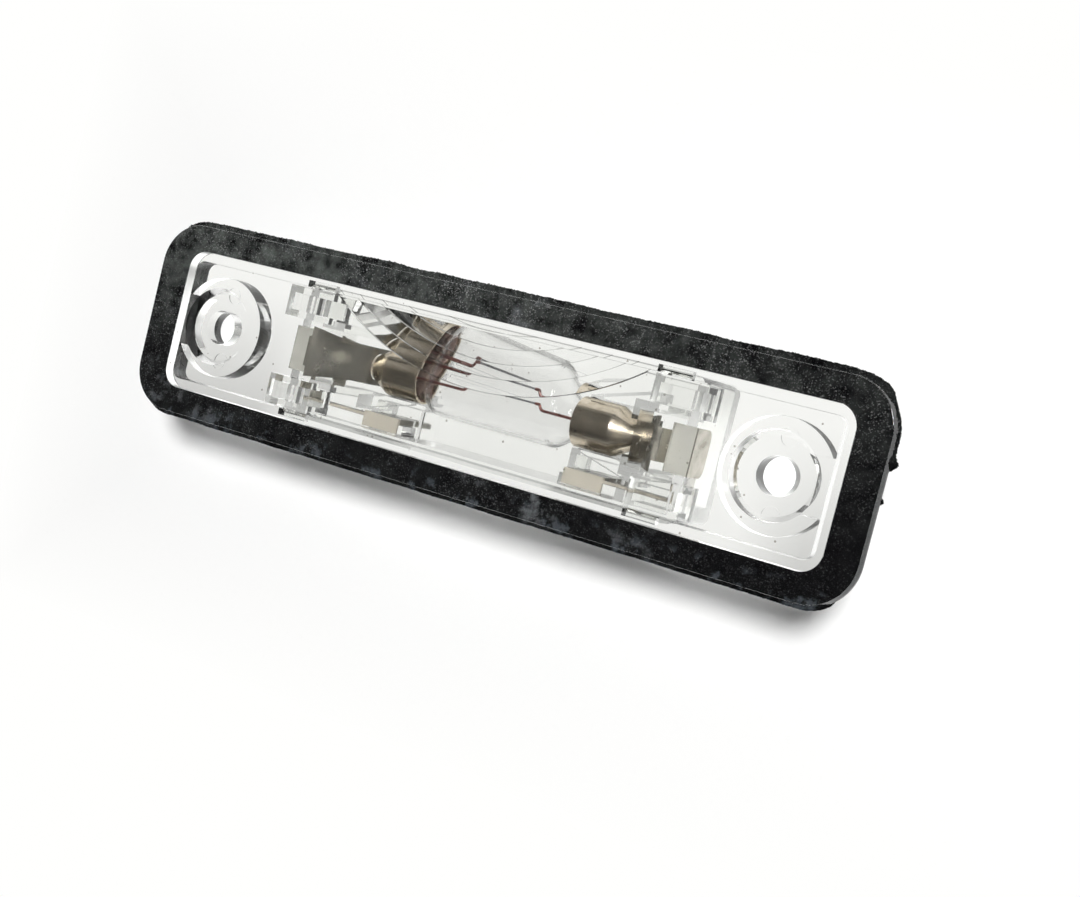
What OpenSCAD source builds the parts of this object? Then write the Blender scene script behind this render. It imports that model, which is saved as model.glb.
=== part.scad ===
// Number plate lamp: a clear lens with a foam gasket and a clear carrier that
// holds a festoon bulb between two spring contacts. The lamp lies face up.
// The origin is midway between the two screw holes, on the mounting plane.

/* [Lens] */
// Length of the lens flange at its back
flange_length = 120.6; // [110:0.2:130]
// Width of the lens flange at its back
flange_width = 30.4; // [29:0.2:34]
// Corner radius of the flange
flange_radius = 7; // [4:0.5:9]
// Thickness of the lens plate
plate_thickness = 1.4; // [1:0.1:1.8]
// Radius of the rounded front edge of the flange
edge_radius = 0.2; // [0.1:0.05:0.4]
// How far the edge of the flange slopes inwards from back to front
edge_draft = 0.3; // [0:0.05:0.6]
// Width of the flange outside the wall behind it, at the ends
band_end = 5.2; // [4:0.1:6]
// Width of the flange outside the wall behind it, at the sides
band_side = 4.2; // [3.5:0.1:5]
// Thickness of the wall behind the plate
collar_wall = 1.5; // [1:0.1:1.5]
// Corner radius of the wall behind the plate, outside
collar_radius = 3; // [2:0.5:4]

/* [Screw bosses] */
// Distance from the end of the wall behind the plate to the middle of a screw hole
screw_inset = 8.6; // [8.4:0.1:10]
// Diameter of the screw holes
screw_hole_d = 5.3; // [4:0.1:6]
// Diameter of the recess for the screw head, at the front
head_recess_d = 12.1; // [11:0.1:13]
// Diameter of the floor of that recess
head_floor_d = 10.5; // [9:0.1:11]
// Depth of the recess for the screw head
head_recess_depth = 1.2; // [0.8:0.05:1.6]
// Diameter of the boss behind the plate
boss_d = 15.7; // [13.5:0.1:16]
// Width of the gap in the boss at its outer side
boss_gap = 8; // [4:0.5:9]

/* [Prisms] */
// Radius of the largest prism arc
prism_radius = 43.2; // [40:0.2:46]
// Distance from one prism arc to the next
prism_pitch = 2.17; // [1.6:0.01:2.4]
// Angle of the first prism face
prism_angle_first = 20; // [10:1:24]
// Angle of the other prism faces
prism_angle = 31; // [20:1:34]
// Lowest point of the largest arc, measured from the middle of the lens
prism_reach = 0.7; // [0:0.1:2]

/* [Gasket] */
// Thickness of the foam gasket
gasket_thickness = 3.2; // [2.6:0.1:4]
// How far the foam stands out past the flange on average
gasket_overhang = 0.35; // [0.1:0.05:0.8]
// How far the foam was stuck on off centre, across the lamp
gasket_shift_y = 0.1; // [-0.1:0.05:0.1]
// Clearance between the foam and the wall inside it
gasket_gap = 0.15; // [0.11:0.01:0.3]

/* [Carrier] */
// Distance from the end of the bulb to the inside of the tray's end wall
spring_room = 8.8; // [8.4:0.1:9.6]
// How much narrower the tray is than the lens wall, on each side
tray_setback = 0.8; // [0.5:0.1:1]
// Depth of the tray behind the mounting plane
tray_depth = 13.8; // [13.4:0.1:18]
// Wall thickness of the tray
tray_wall = 1.1; // [0.9:0.1:1.4]
// Thickness of the tray's end walls
end_wall = 1.5; // [1.2:0.1:1.8]

/* [Contacts] */
// Thickness of the contact metal
metal = 0.4; // [0.3:0.05:0.5]
// Width of the spring leaf at its root
leaf_width = 7.7; // [6.6:0.1:8]
// Width of the spring leaf at its free end
leaf_tip_width = 5.8; // [5.2:0.1:6.4]
// Width of the bend between the leaf and the bridge
bend_width = 4.6; // [3.6:0.1:5.4]
// Width of the lip outside the end wall
lip_width = 6.8; // [5:0.1:7.5]
// Length of the lip outside the end wall
lip_length = 5.6; // [4:0.1:7]
// Width of the flat terminals
blade_width = 6.3; // [4.8:0.1:6.5]
// Thickness of the flat terminals, folded double
blade_thickness = 0.8; // [0.5:0.1:1]

/* [Bulb] */
// Distance between the open ends of the two caps
cap_gap = 26.6; // [25:0.2:28]
// Diameter of the caps
cap_d = 7.5; // [7:0.1:7.8]
// Length of the straight part of a cap
cap_straight = 6; // [5.5:0.1:6.4]
// Length of the tapered part of a cap
cap_taper = 3.8; // [3.4:0.1:4.2]
// Diameter at the end of the taper
cap_end_d = 3.6; // [3:0.1:3.8]
// Wall thickness of a cap
cap_wall = 0.3; // [0.2:0.05:0.4]
// Diameter of the glass
glass_d = 9.6; // [8.6:0.1:9.8]
// Wall thickness of the glass
glass_wall = 0.6; // [0.4:0.05:0.8]
// Distance from the front of the lens to the middle of the bulb
bulb_depth = 11.7; // [11.5:0.1:12]
// Length of the filament coil
filament_length = 11; // [8:0.5:12]
// Diameter of the lead wires
lead_d = 0.45; // [0.3:0.05:0.6]

/* [Hidden] */
$fn = 96;
eps = 0.01;
// Levels, all measured from the mounting plane
plate_z = gasket_thickness;
front_z = plate_z + plate_thickness;
collar_z = 0.2;
// Outline of the wall behind the plate
collar_length = flange_length - 2 * band_end;
collar_width = flange_width - 2 * band_side;
bulb_z = front_z - bulb_depth;
tray_z = -tray_depth;
floor_z = tray_z + tray_wall;
// Clearances between pieces
fit = 0.1;
play = 0.25;
lens_gap = 0.2;
// Inner faces of the lens wall
collar_inner_x = collar_length / 2 - collar_wall;
collar_inner_y = collar_width / 2 - collar_wall;
// Parts of a cap along the bulb's axis
cap_mouth = cap_gap / 2;
cap_shoulder = cap_mouth + cap_straight;
cap_end = cap_shoulder + cap_taper;
// Faces of the tray
tray_inner_x = cap_end + spring_room;
tray_x = tray_inner_x + end_wall;
tray_y = collar_width / 2 - tray_setback;
tray_inner_y = tray_y - tray_wall;
tray_corner = 1.2;
// Screw bosses
screw_x = collar_length / 2 - screw_inset;
mark_d = 2.5;
mark_depth = 0.15;
// Prisms
prism_count = 4;
prism_y = prism_reach + prism_radius;
prism_top = collar_inner_y - 0.35;
prism_root = 0.3;
// Snap hooks, two on each long side
hook_x = tray_inner_x - 2.4;
hook_width = 4.6;
hook_depth = 0.7;
hook_low = 1.1;
hook_high = 2.3;
hook_land = 0.3;
hook_arm = 1.1;
hook_y = collar_inner_y - lens_gap;
notch_skin = 0.5;
notch_play = 0.2;
// Hollow corner blocks that stand against the back of the plate
corner_x = tray_inner_x - 4.9;
corner_end = tray_x + 1.5;
corner_y = 4.6;
corner_wall = 1;
corner_foot = -2.6;
// Bulb
cap_r = cap_d / 2;
neck_r = cap_r - cap_wall - 0.25;
neck_end = cap_mouth + 4.2;
glass_r = glass_d / 2;
solder_r = 0.55;
tip_r = 1;
lead_r = lead_d / 2;
hook_reach = filament_length / 2;
hook_bend = 0.8;
coil_r = 0.16;
// Spring leaf, from the bend at its root to its free end
lip_x = tray_x + fit + metal / 2;
bridge_z = fit + metal / 2;
bridge_x = tray_inner_x - 1.5;
root_x = tray_inner_x - 2.8;
root_z = plate_z - 0.5;
leaf_x = cap_end - 0.2;
leaf_top = bulb_z + 2.2;
leaf_low = bulb_z - 2.1;
leaf_hole_d = cap_end_d + 0.55;
// Arm that leads to the terminal, on edge beside a ledge in the lower long wall
ledge_y = tray_inner_y - 1.5;
ledge_z = bulb_z + 3.6;
arm_z = ledge_z + 0.05;
arm_height = 3;
tab_width = 1.9;
blade_x = cap_mouth + 1.05;
blade_y = ledge_y - fit;
blade_tip = tray_z + 0.8;
// Sockets round the terminals
socket_x = blade_x - 0.75;
socket_length = blade_width + 1.5;
socket_wall = 0.8;
socket_outer = tray_y - 0.6;
socket_inner = 4.8;
socket_roof = tray_z + 5.6;
roof_thickness = 0.9;
// Cheeks and lips that hold the edges of the leaf
cheek_x = leaf_x + 1.6;
cheek_end = root_x - 0.6;
cheek_y = leaf_width / 2 + play;
cheek_thickness = 1.2;
cheek_z = bridge_z + 1.4;
grip = 1.6;
// Slanting ribs that cradle the caps, each wider towards the end of the lamp
rib_start = cap_mouth + 1.2;
rib_end = cheek_x - 0.3;
rib_width_start = 1.7;
rib_width_end = 2.1;
rib_y_start = 2.5;
rib_y_end = blade_y - metal - play - rib_width_end;
rib_z = bulb_z + 1.4;

// Rectangle with round corners
module rounded_rect(l, w, r) {
    square([l - 2 * r, w], center = true);
    square([l, w - 2 * r], center = true);
    for (x = [-1, 1], y = [-1, 1])
        translate([x * (l / 2 - r), y * (w / 2 - r)])
            circle(r);
}

// Section of a plate near its edge: a sloping side and a rounded front edge
module edge_section(r, t, e, draft) {
    side = r - draft;
    polygon([[0, 0], [r, 0], [side, t - e], [side - e, t - e], [side - e, t], [0, t]]);
    translate([side - e, t - e])
        circle(e);
}

// Plate with round corners, standing on its larger face
module rounded_plate(l, w, r, t, e, draft) {
    x = l / 2 - r;
    y = w / 2 - r;
    linear_extrude(t)
        square([2 * x, 2 * y], center = true);
    for (turn = [0, 180])
        rotate(turn) {
            translate([x, 0, 0])
                rotate([90, 0, 0])
                    linear_extrude(2 * y, center = true)
                        edge_section(r, t, e, draft);
            translate([0, y, 0])
                rotate([90, 0, 90])
                    linear_extrude(2 * x, center = true)
                        edge_section(r, t, e, draft);
            translate([x, y, 0])
                rotate_extrude(angle = 90)
                    edge_section(r, t, e, draft);
            translate([-x, y, 0])
                rotate(90)
                    rotate_extrude(angle = 90)
                        edge_section(r, t, e, draft);
        }
}

// Box given by its low and high corners
module block(low, high) {
    translate(low)
        cube(high - low);
}

// Profile drawn in length and height, made solid across the lamp
module across(y_low, y_high) {
    translate([0, y_high, 0])
        rotate([90, 0, 0])
            linear_extrude(y_high - y_low)
                children();
}

// Bent strip of even thickness along a line of points
module strip(points, t) {
    for (i = [0 : len(points) - 2]) {
        step = points[i + 1] - points[i];
        translate(points[i])
            rotate(atan2(step[1], step[0]))
                translate([0, -t / 2])
                    square([norm(step), t]);
    }
    for (p = points)
        translate(p)
            circle(d = t);
}

// Turned shape on the bulb's axis, from points of length and radius
module turned(points) {
    translate([0, 0, bulb_z])
        rotate([0, 90, 0])
            rotate_extrude()
                polygon([for (p = points) [p[1], p[0]]]);
}

// Round hole or rod on the bulb's axis
module on_axis(from, to, r) {
    translate([from, 0, bulb_z])
        rotate([0, 90, 0])
            cylinder(r = r, h = to - from);
}

module left_copy() {
    mirror([1, 0, 0])
        children();
}

// Boss behind the plate, open towards the end of the lamp
module boss() {
    difference() {
        translate([0, 0, collar_z])
            cylinder(d = boss_d, h = plate_z - collar_z + eps);
        difference() {
            block([0, -boss_gap / 2, 0], [boss_d, boss_gap / 2, plate_z]);
            cylinder(d = head_floor_d, h = plate_z);
        }
        for (y = [-1, 1])
            translate([0, y * head_floor_d / 2, collar_z - eps])
                cylinder(d = mark_d, h = mark_depth + eps);
    }
}

// Hole and recess for one screw, the recess wider at the front
module screw_seat() {
    cylinder(d = screw_hole_d, h = front_z + 1);
    translate([0, 0, front_z - head_recess_depth])
        rotate_extrude()
            polygon([[0, 0], [head_floor_d / 2, 0], [head_recess_d / 2, head_recess_depth],
                [head_recess_d / 2, head_recess_depth + 1], [0, head_recess_depth + 1]]);
}

// Sawtooth steps that follow one another inwards from the largest arc
module prisms() {
    intersection() {
        translate([0, prism_y, 0])
            for (i = [0 : prism_count - 1]) {
                outer = prism_radius - i * prism_pitch;
                inner = outer - prism_pitch;
                height = prism_pitch * tan(i == 0 ? prism_angle_first : prism_angle);
                rotate([0, 0, 225])
                    rotate_extrude(angle = 90, $fn = 240)
                        polygon([[inner - eps, plate_z + prism_root], [inner - eps, plate_z],
                            [outer, plate_z - height], [outer, plate_z + prism_root]]);
            }
        block([-prism_radius, -prism_radius, 0], [prism_radius, prism_top, front_z]);
    }
}

module lens() {
    color([0.92, 0.94, 0.93, 0.35])
        difference() {
            union() {
                translate([0, 0, plate_z])
                    rounded_plate(flange_length, flange_width, flange_radius,
                        plate_thickness, edge_radius, edge_draft);
                translate([0, 0, collar_z])
                    linear_extrude(plate_z - collar_z + eps)
                        difference() {
                            rounded_rect(collar_length, collar_width, collar_radius);
                            rounded_rect(2 * collar_inner_x, 2 * collar_inner_y,
                                collar_radius - collar_wall);
                        }
                translate([screw_x, 0, 0])
                    boss();
                left_copy()
                    translate([screw_x, 0, 0])
                        boss();
                prisms();
            }
            for (s = [-1, 1])
                translate([s * screw_x, 0, 0])
                    screw_seat();
            for (x = [-1, 1], y = [-1, 1])
                translate([x * hook_x, y * (collar_width / 2 - notch_skin), 0])
                    notch(y);
        }
}

// Blind pocket in the lens wall for one snap hook
module notch(side) {
    reach = collar_wall - notch_skin + eps;
    half = hook_width / 2 + play;
    block([-half, side > 0 ? -reach : 0, hook_low - notch_play],
        [half, side > 0 ? 0 : reach, hook_high + notch_play]);
}

module gasket() {
    color([0.06, 0.06, 0.06])
        linear_extrude(gasket_thickness)
            difference() {
                translate([0, gasket_shift_y])
                    rounded_rect(flange_length + 2 * gasket_overhang,
                        flange_width + 2 * gasket_overhang, flange_radius + gasket_overhang);
                rounded_rect(collar_length + 2 * gasket_gap, collar_width + 2 * gasket_gap,
                    collar_radius + gasket_gap);
            }
}

// Nose of a snap hook, on the outer wall of a corner block
module snap_hook() {
    rotate([90, 0, 90])
        linear_extrude(hook_width, center = true)
            polygon([[hook_y - eps, hook_low], [hook_y + hook_depth, hook_low],
                [hook_y + hook_depth, hook_low + hook_land], [hook_y - eps, hook_high]]);
}

// Hollow block at one corner of the tray, open towards the lens
module corner_block() {
    top = plate_z - lens_gap;
    difference() {
        block([corner_x, corner_y, corner_foot], [corner_end, hook_y, top]);
        block([corner_x + corner_wall, corner_y + corner_wall, corner_foot + corner_wall],
            [corner_end - corner_wall, hook_y - hook_arm, top + 1]);
    }
}

// Cheek beside the leaf, with a lip over its edge
module cheek() {
    slope = (root_z - leaf_top) / (root_x - leaf_x);
    lift = metal / cos(atan(slope)) + play;
    low = root_z + slope * (cheek_x - root_x) + lift;
    across(cheek_y, cheek_y + cheek_thickness)
        polygon([[cheek_x, floor_z - eps], [cheek_end, floor_z - eps],
            [cheek_end, cheek_z], [cheek_x, cheek_z]]);
    across(cheek_y - grip, cheek_y + eps)
        polygon([[cheek_x, low], [cheek_x + (cheek_z - low) / slope, cheek_z],
            [cheek_x, cheek_z]]);
}

// Slanting rib with a hollow for the cap
module cradle_rib() {
    difference() {
        translate([0, 0, floor_z - eps])
            linear_extrude(rib_z - floor_z)
                polygon([[rib_start, rib_y_start], [rib_end, rib_y_end],
                    [rib_end, rib_y_end + rib_width_end],
                    [rib_start, rib_y_start + rib_width_start]]);
        on_axis(0, cap_end, cap_r + play);
        on_axis(0, rib_start, glass_r + play);
    }
}

// Solid that surrounds one terminal, before its hollow is cut
module socket_body() {
    block([socket_x - socket_wall, -socket_outer - socket_wall, tray_z],
        [socket_x + socket_length + socket_wall, -socket_inner + socket_wall,
            socket_roof + roof_thickness]);
}

module socket_hollow() {
    block([socket_x, -socket_outer, tray_z - 1],
        [socket_x + socket_length, -socket_inner, socket_roof]);
    block([blade_x - fit, -blade_y - fit, socket_roof - eps],
        [blade_x + blade_width + fit, -blade_y + blade_thickness + fit, ledge_z + 1]);
}

// Everything in the tray at its right end
module tray_end() {
    for (y = [0, 1])
        mirror([0, y, 0]) {
            translate([hook_x, 0, 0])
                snap_hook();
            corner_block();
            cheek();
            cradle_rib();
        }
    block([socket_x, -tray_inner_y - 0.2, floor_z - eps], [tray_inner_x + 0.1, -ledge_y, ledge_z]);
    socket_body();
}

module bulb_carrier() {
    color([0.85, 0.88, 0.87, 0.35])
        difference() {
            union() {
                difference() {
                    translate([0, 0, tray_z])
                        linear_extrude(tray_depth)
                            rounded_rect(2 * tray_x, 2 * tray_y, tray_corner);
                    block([-tray_inner_x, -tray_inner_y, floor_z], [tray_inner_x, tray_inner_y, 1]);
                }
                tray_end();
                left_copy()
                    tray_end();
                for (y = [-1, 1])
                    translate([0, y * 2.6, floor_z])
                        cube([2 * socket_x, 0.5, 0.6], center = true);
            }
            socket_hollow();
            left_copy()
                socket_hollow();
        }
}

// Outline of the spring strip seen from the front
module strip_outline() {
    half_tip = leaf_tip_width / 2;
    half_root = leaf_width / 2;
    polygon([[leaf_x - 1, -half_tip], [leaf_x + 1.5, -half_tip], [root_x, -half_root],
        [root_x, half_root], [leaf_x + 1.5, half_tip], [leaf_x - 1, half_tip]]);
    translate([root_x - eps, -bend_width / 2])
        square([bridge_x - root_x + 2 * eps, bend_width]);
    translate([bridge_x, -lip_width / 2])
        square([lip_x - bridge_x + metal, lip_width]);
}

// Lip that hangs down outside the end wall
module lip() {
    corner = 1.5;
    translate([lip_x - metal / 2, 0, bridge_z - lip_length])
        rotate([90, 0, 90])
            linear_extrude(metal) {
                translate([0, (lip_length + corner) / 2])
                    square([lip_width, lip_length - corner], center = true);
                translate([0, lip_length / 2])
                    square([lip_width - 2 * corner, lip_length], center = true);
                for (y = [-1, 1])
                    translate([y * (lip_width / 2 - corner), corner])
                        circle(corner);
            }
}

// Terminal: a side flange, an arm on edge, a tab on the ledge and the flat blade
module terminal() {
    plate_x = tray_inner_x - fit - metal;
    arm_low = arm_z + metal - arm_height;
    arm_top = arm_z + metal;
    blade_end = blade_x + blade_width;
    block([bridge_x, -lip_width / 2, arm_low],
        [plate_x + metal, -lip_width / 2 + metal, bridge_z]);
    block([plate_x, -blade_y, arm_low], [plate_x + metal, -lip_width / 2 + metal, arm_top]);
    block([blade_x, -blade_y, arm_low], [plate_x + metal, -blade_y + metal, arm_top]);
    block([blade_x, -blade_y - tab_width + metal, arm_z], [blade_end, -blade_y + metal, arm_top]);
    block([blade_x, -blade_y, blade_tip + 1], [blade_end, -blade_y + blade_thickness, arm_top]);
    block([blade_x + 0.9, -blade_y, blade_tip],
        [blade_end - 0.9, -blade_y + blade_thickness, blade_tip + 1 + eps]);
}

// Contact at the right end
module contact() {
    difference() {
        intersection() {
            across(-leaf_width, leaf_width)
                strip([[lip_x, bridge_z], [bridge_x, bridge_z], [root_x + 0.5, root_z - 0.2],
                    [root_x, root_z], [root_x - 0.5, root_z - 0.2], [leaf_x, leaf_top],
                    [leaf_x, leaf_low], [leaf_x + 1.1, leaf_low - 1.5]], metal);
            translate([0, 0, leaf_low - lip_width])
                linear_extrude(plate_z - leaf_low + lip_width)
                    strip_outline();
        }
        on_axis(leaf_x - 2, leaf_x + 4, leaf_hole_d / 2);
    }
    lip();
    terminal();
}

module contact_right() {
    color([0.62, 0.58, 0.50])
        contact();
}

module contact_left() {
    color([0.62, 0.58, 0.50])
        left_copy()
            contact();
}

// Points of a curve that swings from one radius to another along the axis
function swing(x0, r0, x1, r1, n = 10) =
    [for (i = [0 : n]) [x0 + (x1 - x0) * i / n, r0 + (r1 - r0) * (1 - cos(180 * i / n)) / 2]];

function half_glass(thin) = concat(
    swing(cap_mouth - 3.6, glass_r - thin, cap_mouth - 0.2, neck_r - thin),
    [[neck_end - 1 - thin, neck_r - thin]],
    [for (a = [90 : -15 : 30]) [neck_end - 1 - thin + 1 * cos(a), (neck_r - thin) * sin(a)]]);

function reversed(points) = [for (i = [len(points) - 1 : -1 : 0]) points[i]];
function mirrored(points) = [for (p = reversed(points)) [-p[0], p[1]]];

module bulb_glass() {
    outside = half_glass(0);
    inside = half_glass(glass_wall);
    color([0.95, 0.96, 0.96, 0.35])
        difference() {
            turned(concat([[-neck_end, 0]], mirrored(outside), outside, [[neck_end, 0]]));
            turned(concat([[-neck_end + glass_wall + 1, 0]], mirrored(inside), inside,
                [[neck_end - glass_wall - 1, 0]]));
            on_axis(-cap_end, cap_end, lead_r + 0.04);
        }
}

module bulb_cap() {
    inner = cap_r - cap_wall;
    turned([[cap_mouth, inner], [cap_mouth, cap_r - 0.1], [cap_mouth + 0.1, cap_r],
        [cap_shoulder, cap_r], [cap_shoulder + 0.35, cap_r - 0.12], [cap_end - 0.2, cap_end_d / 2],
        [cap_end, cap_end_d / 2 - 0.2], [cap_end, solder_r + 0.02], [cap_end - cap_wall, solder_r + 0.02],
        [cap_end - cap_wall, cap_end_d / 2 - cap_wall], [cap_shoulder, inner]]);
}

module bulb_cap_right() {
    color([0.72, 0.69, 0.62])
        bulb_cap();
}

module bulb_cap_left() {
    color([0.72, 0.69, 0.62])
        left_copy()
            bulb_cap();
}

// Cement between the glass neck and the cap
module cap_cement() {
    inner = cap_r - cap_wall - 0.03;
    turned([[cap_mouth + 0.5, neck_r + 0.03], [cap_mouth + 0.5, inner],
        [cap_shoulder - 0.1, inner], [cap_shoulder - 0.1, lead_r + 0.04],
        [neck_end + 0.1, lead_r + 0.04], [neck_end + 0.1, neck_r + 0.03]]);
}

module cap_cement_right() {
    color([0.42, 0.27, 0.18])
        cap_cement();
}

module cap_cement_left() {
    color([0.42, 0.27, 0.18])
        left_copy()
            cap_cement();
}

// Drop of solder in the hole at the end of a cap
module solder_tip() {
    turned(concat([[cap_end - cap_wall - 0.1, 0], [cap_end - cap_wall - 0.1, solder_r],
        [cap_end + 0.02, solder_r]],
        [for (a = [0 : 15 : 90]) [cap_end + 0.02 + 0.5 * sin(a), tip_r * cos(a)]]));
}

module solder_tip_right() {
    color([0.75, 0.75, 0.76])
        solder_tip();
}

module solder_tip_left() {
    color([0.75, 0.75, 0.76])
        left_copy()
            solder_tip();
}

// Lead wire from the solder to the hook that grips the filament
module lead_wire() {
    stop = cap_end - cap_wall - 0.12;
    bend_x = hook_reach + 1.6;
    on_axis(bend_x, stop, lead_r);
    translate([bend_x, hook_bend, bulb_z])
        rotate([0, 0, 180])
            rotate_extrude(angle = 90)
                translate([hook_bend, 0])
                    circle(lead_r);
    translate([hook_reach, hook_bend, bulb_z])
        rotate([0, 90, 0])
            cylinder(r = lead_r, h = bend_x - hook_bend - hook_reach);
}

module lead_wire_right() {
    color([0.55, 0.33, 0.25])
        lead_wire();
}

module lead_wire_left() {
    color([0.55, 0.33, 0.25])
        left_copy()
            lead_wire();
}

module filament() {
    color([0.2, 0.2, 0.22])
        translate([0, hook_bend, 0])
            on_axis(-hook_reach, hook_reach, coil_r);
}

lens();
gasket();
bulb_carrier();
contact_left();
contact_right();
bulb_glass();
bulb_cap_left();
bulb_cap_right();
cap_cement_left();
cap_cement_right();
solder_tip_left();
solder_tip_right();
lead_wire_left();
lead_wire_right();
filament();
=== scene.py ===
import math

import bmesh
import bpy
from mathutils import Matrix, Vector, noise


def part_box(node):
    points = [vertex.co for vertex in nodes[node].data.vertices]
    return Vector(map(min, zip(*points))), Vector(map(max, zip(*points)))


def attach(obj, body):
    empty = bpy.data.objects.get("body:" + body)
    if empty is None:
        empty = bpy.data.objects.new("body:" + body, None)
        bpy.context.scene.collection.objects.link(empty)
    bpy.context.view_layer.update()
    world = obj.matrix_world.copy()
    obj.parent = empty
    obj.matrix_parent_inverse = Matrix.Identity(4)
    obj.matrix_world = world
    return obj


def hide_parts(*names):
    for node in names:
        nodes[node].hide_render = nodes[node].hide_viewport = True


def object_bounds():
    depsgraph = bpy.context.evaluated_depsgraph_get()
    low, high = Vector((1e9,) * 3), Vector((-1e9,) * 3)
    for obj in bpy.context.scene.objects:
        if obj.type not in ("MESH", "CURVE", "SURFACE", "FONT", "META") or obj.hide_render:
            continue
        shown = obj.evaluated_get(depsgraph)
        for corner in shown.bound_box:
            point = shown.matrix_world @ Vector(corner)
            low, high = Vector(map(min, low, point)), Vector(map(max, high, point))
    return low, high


# Sizes in this file are metres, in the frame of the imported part:
# +X along the lamp, +Y towards the prisms, +Z out of the front of the lens.
MM = 0.001

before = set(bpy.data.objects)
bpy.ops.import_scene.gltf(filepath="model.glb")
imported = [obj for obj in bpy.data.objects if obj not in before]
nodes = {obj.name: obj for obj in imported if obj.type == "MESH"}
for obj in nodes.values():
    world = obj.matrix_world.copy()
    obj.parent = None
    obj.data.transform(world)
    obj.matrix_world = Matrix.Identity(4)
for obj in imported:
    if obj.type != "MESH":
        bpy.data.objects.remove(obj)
cad_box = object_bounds()


# Small helpers for node trees and meshes

def add(tree, kind, inputs=None, **settings):
    """A new node. Its inputs go by name or number, each with a value or with a socket to link."""
    node = tree.nodes.new(kind)
    for key, value in settings.items():
        setattr(node, key, value)
    for key, value in (inputs or {}).items():
        target = node.inputs[key]
        if isinstance(value, bpy.types.NodeSocket):
            tree.links.new(value, target)
        else:
            target.default_value = value
    return node


def math_node(tree, operation, *values, clamp=False):
    node = add(tree, "ShaderNodeMath", dict(enumerate(values)), operation=operation)
    node.use_clamp = clamp
    return node.outputs[0]


def product(tree, first, *others):
    for factor in others:
        first = math_node(tree, "MULTIPLY", first, factor)
    return first


def distance_of(tree, along, across):
    """The straight distance that two steps at right angles to each other come to."""
    squares = math_node(tree, "ADD", product(tree, along, along), product(tree, across, across))
    return math_node(tree, "SQRT", squares)


def ramp_to(tree, value, low, high, to_low=0.0, to_high=1.0):
    """Changes evenly from to_low at one value to to_high at another, and is level past them."""
    node = add(tree, "ShaderNodeMapRange", {
        "Value": value, "From Min": low, "From Max": high, "To Min": to_low, "To Max": to_high})
    return node.outputs[0]


def within(tree, value, low, high, soft):
    """1 between two places along an axis and 0 outside them, with a soft change."""
    above = ramp_to(tree, value, low - soft, low)
    below = ramp_to(tree, value, high + soft, high)
    return product(tree, above, below)


def split(tree, vector):
    return add(tree, "ShaderNodeSeparateXYZ", {0: vector}).outputs


def mix_color(tree, factor, first, second):
    node = add(tree, "ShaderNodeMix", data_type="RGBA")
    for index, value in ((0, factor), (6, first), (7, second)):
        if isinstance(value, bpy.types.NodeSocket):
            tree.links.new(value, node.inputs[index])
        else:
            node.inputs[index].default_value = (*value, 1)
    return node.outputs[2]


def darker(color, share):
    return tuple(part * share for part in color)


def new_material(name):
    material = bpy.data.materials.new(name)
    material.use_nodes = True
    tree = material.node_tree
    tree.nodes.clear()
    out = add(tree, "ShaderNodeOutputMaterial")
    place = add(tree, "ShaderNodeTexCoord").outputs["Object"]
    return material, tree, out, place


def set_material(obj, material):
    obj.data.materials.clear()
    obj.data.materials.append(material)
    for face in obj.data.polygons:
        face.material_index = 0


def link_object(name, data):
    obj = bpy.data.objects.new(name, data)
    bpy.context.scene.collection.objects.link(obj)
    return obj


# Shader groups that several finishes share

def new_mask_group(name, values):
    """A group that takes a place and some numbers, and puts out one mask."""
    group = bpy.data.node_groups.new(name, "ShaderNodeTree")
    group.interface.new_socket("Vector", in_out="INPUT", socket_type="NodeSocketVector")
    for label, value in values.items():
        socket = group.interface.new_socket(label, in_out="INPUT", socket_type="NodeSocketFloat")
        socket.default_value = value
    group.interface.new_socket("Mask", in_out="OUTPUT", socket_type="NodeSocketFloat")
    enter = add(group, "NodeGroupInput").outputs
    leave = add(group, "NodeGroupOutput").inputs
    return group, enter, leave


def build_specks():
    """Separate round specks: a share of the cells holds one, of the given size."""
    group, enter, leave = new_mask_group("specks", {"Cells per metre": 600.0, "Size": 0.15, "Share": 0.05})
    cells = add(group, "ShaderNodeTexVoronoi", {
        "Vector": enter["Vector"], "Scale": enter["Cells per metre"]})
    chance = add(group, "ShaderNodeSeparateColor", {0: cells.outputs["Color"]})
    near = math_node(group, "LESS_THAN", cells.outputs["Distance"], enter["Size"])
    chosen = math_node(group, "LESS_THAN", chance.outputs[0], enter["Share"])
    group.links.new(product(group, near, chosen), leave["Mask"])
    return group


def build_blotches():
    """Soft uneven patches between two levels of a noise."""
    group, enter, leave = new_mask_group("blotches", {"Scale": 300.0, "From": 0.45, "To": 0.65})
    cloud = add(group, "ShaderNodeTexNoise", {
        "Vector": enter["Vector"], "Scale": enter["Scale"], "Detail": 6.0, "Roughness": 0.6})
    soft = ramp_to(group, cloud.outputs[0], enter["From"], enter["To"])
    group.links.new(soft, leave["Mask"])
    return group


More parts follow.
